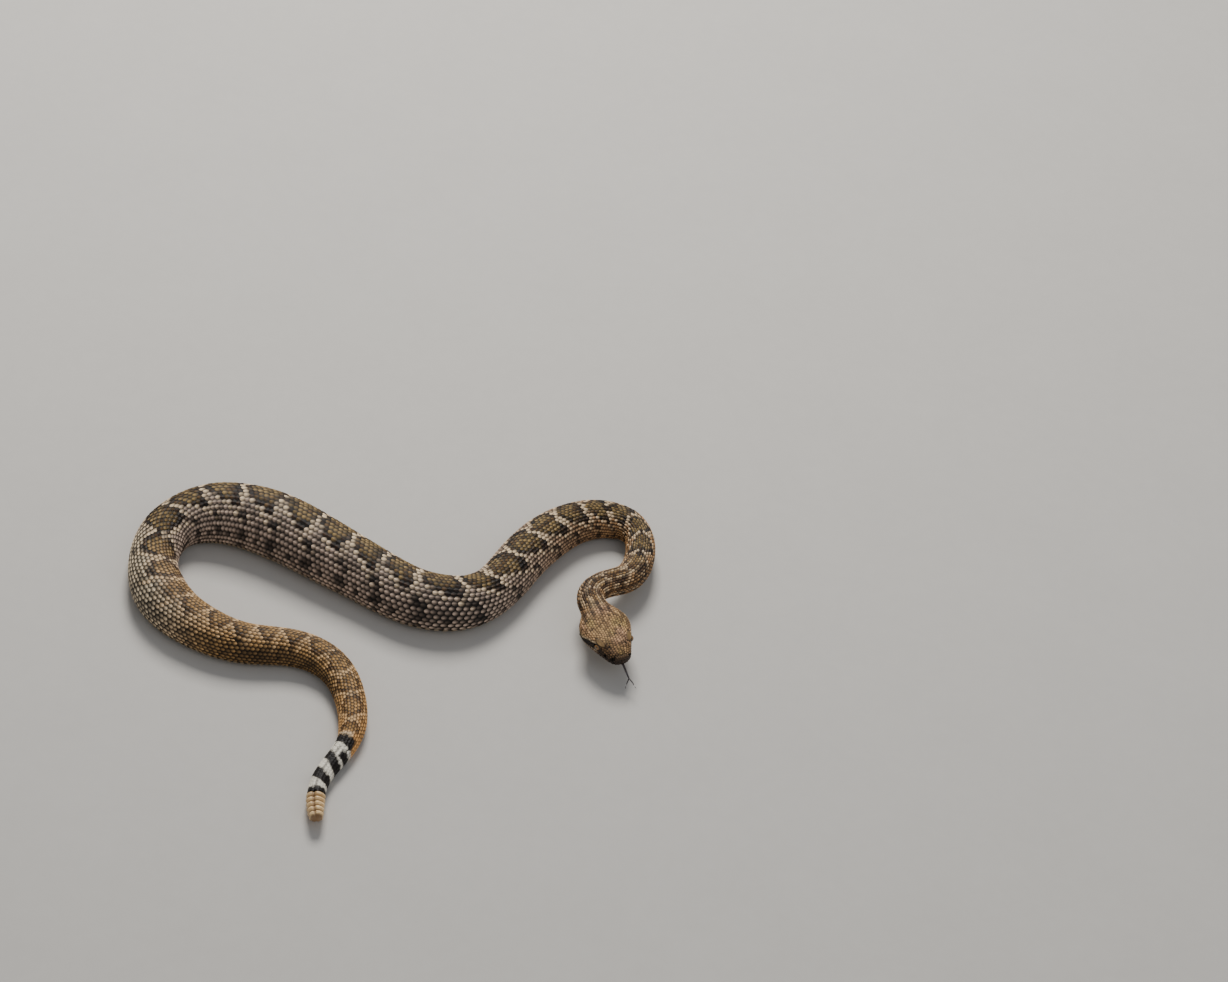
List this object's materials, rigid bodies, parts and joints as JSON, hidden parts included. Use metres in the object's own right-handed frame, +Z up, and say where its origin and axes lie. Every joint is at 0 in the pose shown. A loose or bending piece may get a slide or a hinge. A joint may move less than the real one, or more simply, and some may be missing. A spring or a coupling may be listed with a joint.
{
  "type": "rattlesnake",
  "caption": "Western diamondback rattlesnake at life size, lying in loose bends with its head lifted, tongue out and rattle at rest.",
  "frame": {"origin": "centre of the footprint of the whole snake on the floor", "axes": "+X to the side of the head, along the longest extent of the bent body; +Y away from the head's snout, towards the loops of the neck and body; +Z up from the floor"},
  "size_m": [0.3766, 0.341, 0.04],
  "materials": {
    "skin": "dry keeled scales, blotched dark brown on tan and grey, tail ringed black and white",
    "eye": "wet gloss, upright slit pupil",
    "tongue": "moist satin",
    "rattle": "dry horn, satin"
  },
  "bodies": {
    "root": {"head": "skin", "jaw": "skin", "eye_left": "eye", "eye_right": "eye", "tongue": "tongue", "neck": "skin", "body_1": "skin", "body_2": "skin", "body_3": "skin", "body_4": "skin", "body_5": "skin", "body_6": "skin", "body_7": "skin", "body_8": "skin", "tail": "skin", "rattle_segment_1": "rattle", "rattle_segment_2": "rattle", "rattle_segment_3": "rattle", "rattle_segment_4": "rattle", "rattle_button": "rattle"}
  },
  "joints": []
}
